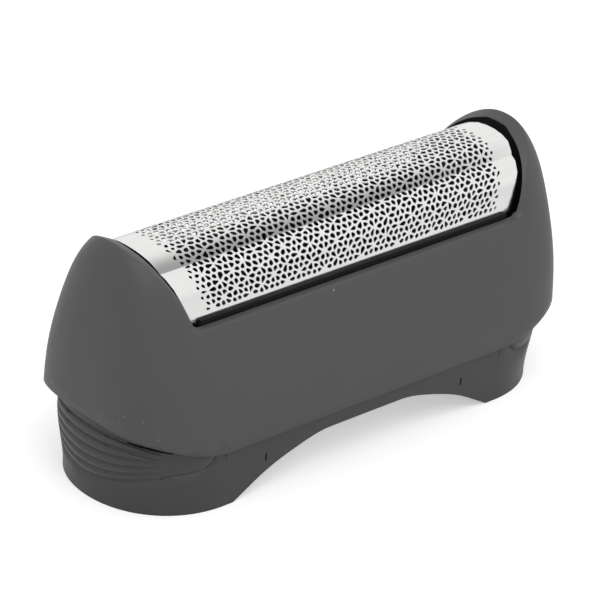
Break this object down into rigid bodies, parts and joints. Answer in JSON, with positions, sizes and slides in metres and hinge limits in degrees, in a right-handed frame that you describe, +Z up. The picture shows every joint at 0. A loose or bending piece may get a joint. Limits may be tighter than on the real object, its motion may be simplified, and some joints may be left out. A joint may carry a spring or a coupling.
{
  "type": "shaver foil head",
  "caption": "Push-fit foil head of a dry shaver: loaf-shaped grey frame with a saddle window, bent perforated steel foil on a black carrier, and a ribbed collar with arched sides.",
  "frame": {"origin": "centre of the footprint, on the plane the two feet stand on", "axes": "+X along the head, -Y the side seen in the picture as the front, +Z up through the foil"},
  "size_m": [0.057, 0.0202, 0.0268],
  "materials": {
    "frame_plastic": "fine matte, slightly satin",
    "collar_plastic": "fine matte",
    "foil_steel": "bright, fine satin",
    "carrier_plastic": "matte black"
  },
  "bodies": {
    "root": {"outer_frame": "frame_plastic", "base_collar": "collar_plastic", "foil": "foil_steel", "foil_carrier": "carrier_plastic", "front_foil_strip": "carrier_plastic", "rear_foil_strip": "carrier_plastic"}
  },
  "joints": []
}
